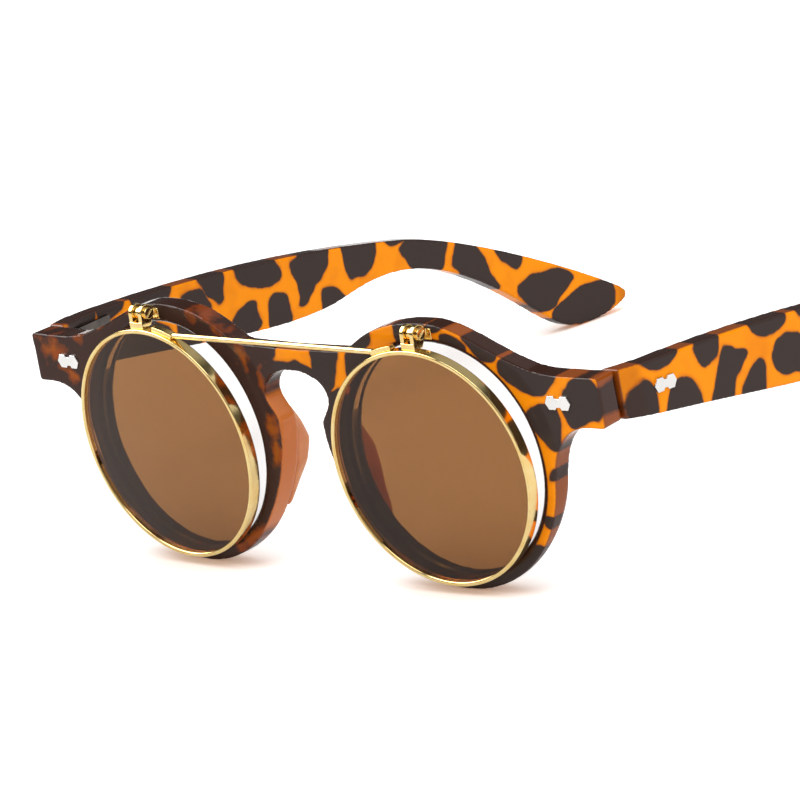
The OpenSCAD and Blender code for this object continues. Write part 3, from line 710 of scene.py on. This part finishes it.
def turn_onto(piece, node_name):
    """Moves what was modelled round the Z axis onto a round CAD node, and applies its place."""
    front, axis = disc_place(node_name)
    turned = Vector((0, 0, 1)).rotation_difference(axis).to_matrix().to_4x4()
    piece.matrix_world = Matrix.Translation(front) @ turned
    activate(piece)
    bpy.ops.object.transform_apply(location=True, rotation=True, scale=True)


def ring_piece(side):
    """A channel section spun round the lens, with its corners eased."""
    section_middle = (opening_r + ring_wall / 2, 0, ring_depth / 2)
    bpy.ops.mesh.primitive_plane_add(size=1, location=section_middle, rotation=(pi / 2, 0, 0))
    piece = bpy.context.active_object
    piece.name = "ring_" + side
    piece.scale = (ring_wall, ring_depth, 1)
    bpy.ops.object.transform_apply(location=True, rotation=True, scale=True)
    bpy.ops.object.mode_set(mode="EDIT")
    for cut in (groove_from, groove_to):
        bpy.ops.mesh.select_all(action="SELECT")
        bpy.ops.mesh.bisect(plane_co=(0, 0, cut), plane_no=(0, 0, 1))
    bpy.ops.mesh.select_all(action="SELECT")
    bpy.ops.mesh.bisect(plane_co=(opening_r + groove_depth, 0, 0), plane_no=(1, 0, 0))
    bpy.ops.object.mode_set(mode="OBJECT")
    for face in piece.data.polygons:
        inner = face.center.x < opening_r + groove_depth
        face.select = inner and groove_from < face.center.z < groove_to
    bpy.ops.object.mode_set(mode="EDIT")
    bpy.ops.mesh.select_mode(type="FACE")
    bpy.ops.mesh.delete(type="FACE")
    bpy.ops.mesh.select_all(action="SELECT")
    bpy.ops.mesh.dissolve_faces()
    bpy.ops.object.mode_set(mode="OBJECT")
    for corner in piece.data.vertices:
        corner.select = corner.co.z < hair or corner.co.z > ring_depth - hair
    bpy.ops.object.mode_set(mode="EDIT")
    bpy.ops.mesh.select_mode(type="VERT")
    bpy.ops.mesh.bevel(offset=corner_ease, segments=4, affect="VERTICES")
    bpy.ops.mesh.select_all(action="SELECT")
    bpy.ops.mesh.delete(type="ONLY_FACE")
    bpy.ops.mesh.select_all(action="SELECT")
    bpy.ops.mesh.spin(steps=ring_steps, angle=2 * pi, center=(0, 0, 0), axis=(0, 0, 1))
    bpy.ops.mesh.select_all(action="SELECT")
    bpy.ops.mesh.remove_doubles(threshold=2 * same_corner)
    bpy.ops.mesh.normals_make_consistent(inside=False)
    bpy.ops.object.mode_set(mode="OBJECT")
    bpy.ops.object.shade_smooth_by_angle(angle=radians(40))
    turn_onto(piece, "flip_ring_" + side)
    finish_piece(piece, "flip", gold, "flip_ring_" + side)


def lens_piece(slot, name, side, body, size, material):
    """A cap of a large sphere, given the lens's thickness inwards."""
    radius, thickness = size
    rim_height = lens_curve * (1 - cos(asin(radius / lens_curve)))
    bpy.ops.mesh.primitive_uv_sphere_add(segments=lens_steps, ring_count=lens_circles,
                                         radius=lens_curve, location=(0, 0, lens_curve))
    piece = bpy.context.active_object
    piece.name = name + "_" + side
    bpy.ops.object.transform_apply(location=True, rotation=True, scale=True)
    bpy.ops.object.mode_set(mode="EDIT")
    bpy.ops.mesh.select_all(action="SELECT")
    bpy.ops.mesh.bisect(plane_co=(0, 0, rim_height), plane_no=(0, 0, 1), clear_outer=True)
    bpy.ops.object.mode_set(mode="OBJECT")
    apply_modifier(piece, "SOLIDIFY", "wall", thickness=thickness, offset=-1.0,
                   use_even_offset=True)
    bpy.ops.object.shade_smooth_by_angle(angle=radians(30))
    turn_onto(piece, slot + "_" + side)
    finish_piece(piece, body, material, slot + "_" + side)


front_piece()
temple_piece("left", near_temple_dark)
temple_piece("right", far_temple_dark)
for side in ("left", "right"):
    pad_piece(side)
    ring_piece(side)
    lens_piece("tinted_lens", "tinted_glass", side, "flip", tinted_size, tinted_glass)
    lens_piece("clear_lens", "clear_glass", side, "front", clear_size, clear_glass)
    rivet_piece("front_rivet_" + side, "front")
    rivet_piece("temple_rivet_" + side, "temple_" + side)
    metal_piece("flip_clevis_" + side, fitting_skin)
    metal_piece("flip_lug_" + side, fitting_skin)
    metal_piece("flip_screw_" + side, screw_skin)
metal_piece("flip_bridge_bar", wire_skin)

# The hinges and their screws keep their CAD shape, in steel

for name in ("front_hinge", "temple_hinge", "hinge_screw"):
    for side in ("left", "right"):
        nodes[name + "_" + side].data.materials.clear()
        nodes[name + "_" + side].data.materials.append(steel)

# Camera, as the photograph was taken

view_turn = 45.4547
view_rise = 14.891
view_roll = -9.6476
focal_length = 292.5
sensor_wide = 36
camera_at = Vector((0.80553, -0.84286, 0.32598))

lens_data = bpy.data.cameras.new("photo_view")
lens_data.sensor_width = sensor_wide
lens_data.lens = focal_length
lens_data.clip_start = 0.05
lens_data.clip_end = 20
camera = bpy.data.objects.new("photo_view", lens_data)
scene.collection.objects.link(camera)
turn = Matrix.Rotation(radians(view_turn), 4, "Z")
tilt = Matrix.Rotation(radians(90 - view_rise), 4, "X")
roll = Matrix.Rotation(radians(view_roll), 4, "Z")
camera.matrix_world = Matrix.Translation(camera_at) @ turn @ tilt @ roll
scene.camera = camera

# Floor and light

floor_wide = 8
paper_white = (0.86, 0.85, 0.845, 1)
# How near a thing has to stand for the paper to darken, in what tint, and how strongly the
# paper glows there, out in the open and through a lens
shadow_reach = 12 * mm
shadow_warm = (1.0, 0.60, 0.40, 1)
shadow_glow = 0.34
open_glow = 0.55
lens_glow = 0.14

bpy.ops.mesh.primitive_plane_add(size=floor_wide, location=(0, 0, 0))
floor = bpy.context.active_object
floor.name = "floor"


def floor_material():
    """White paper that glows where nothing stands close over it, so only near shadows show."""
    material, tree = new_material("white_paper")
    lit = add_node(tree, "BsdfDiffuse")
    lit.inputs["Color"].default_value = paper_white
    clear = add_node(tree, "AmbientOcclusion")
    clear.inputs["Distance"].default_value = shadow_reach
    open_share = spread_range(tree, clear.outputs["AO"], 0.35, 0.95, 0.0, 1.0, smooth=True)
    glow = add_node(tree, "Emission")
    tree.links.new(blend_colours(tree, open_share, shadow_warm, clear_white), glow.inputs["Color"])
    strength = spread_range(tree, open_share, 0.0, 1.0, shadow_glow, open_glow)
    path = add_node(tree, "LightPath")
    through_lens = work_out(tree, "MULTIPLY", path.outputs["Is Transmission Ray"], lens_glow)
    seen = work_out(tree, "ADD", path.outputs["Is Camera Ray"], through_lens)
    tree.links.new(work_out(tree, "MULTIPLY", seen, strength), glow.inputs["Strength"])
    both = add_node(tree, "AddShader")
    tree.links.new(lit.outputs[0], both.inputs[0])
    tree.links.new(glow.outputs[0], both.inputs[1])
    finish_surface(tree, both.outputs[0])
    return material


floor.data.materials.append(floor_material())


# The two soft boxes that shiny edges mirror: towards the box, then the cosines at which its
# edge starts and is full, and its strength
front_box = (Vector((-0.66, -0.32, 0.68)).normalized(), 0.86, 0.93, 6.0)
back_box = (Vector((-0.10, 0.70, 0.71)).normalized(), 0.90, 0.97, 0.3)
# How bright the tent is as it is mirrored, as it lights the glasses and as it is seen
tent_mirrored = 0.07
tent_light = 0.75
tent_seen = 1.0


def box_light(tree, heading, box):
    """How bright a soft box is in a direction."""
    towards, starts, full, strength = box
    made = add_node(tree, "VectorMath", operation="DOT_PRODUCT")
    tree.links.new(heading, made.inputs[0])
    made.inputs[1].default_value = towards
    return spread_range(tree, made.outputs["Value"], starts, full, 0.0, strength, smooth=True)


def white_world():
    """A white tent that shiny pieces see as darker, with the two boxes in it."""
    world = bpy.data.worlds.new("white_tent")
    world.use_nodes = True
    tree = world.node_tree
    tree.nodes.clear()
    light = add_node(tree, "Background")
    light.inputs["Color"].default_value = (1, 1, 1, 1)
    path = add_node(tree, "LightPath")
    heading = add_node(tree, "TexCoord").outputs["Generated"]
    in_front = box_light(tree, heading, front_box)
    boxes = work_out(tree, "ADD", in_front, box_light(tree, heading, back_box))
    mirrored = work_out(tree, "ADD", boxes, tent_mirrored)
    seen = path.outputs["Is Camera Ray"]
    seen = work_out(tree, "MAXIMUM", seen, path.outputs["Is Transmission Ray"])
    strength = spread_range(tree, seen, 0.0, 1.0, tent_light, tent_seen)
    mixed = add_node(tree, "Mix", data_type="FLOAT")
    tree.links.new(path.outputs["Is Glossy Ray"], mixed.inputs["Factor"])
    tree.links.new(strength, mixed.inputs[2])
    tree.links.new(mirrored, mixed.inputs[3])
    tree.links.new(mixed.outputs[0], light.inputs["Strength"])
    out = add_node(tree, "OutputWorld")
    tree.links.new(light.outputs[0], out.inputs["Surface"])
    scene.world = world


white_world()


def sun(name, strength, turn_deg, rise_deg, softness_deg):
    data = bpy.data.lights.new(name, "SUN")
    data.energy = strength
    data.angle = radians(softness_deg)
    lamp = bpy.data.objects.new(name, data)
    scene.collection.objects.link(lamp)
    spin_about = Matrix.Rotation(radians(turn_deg), 4, "Z")
    lamp.matrix_world = spin_about @ Matrix.Rotation(radians(90 - rise_deg), 4, "X")


sun("key_light", strength=1.2, turn_deg=20, rise_deg=62, softness_deg=40)
sun("fill_light", strength=0.5, turn_deg=100, rise_deg=40, softness_deg=60)

scene.view_settings.view_transform = "Standard"
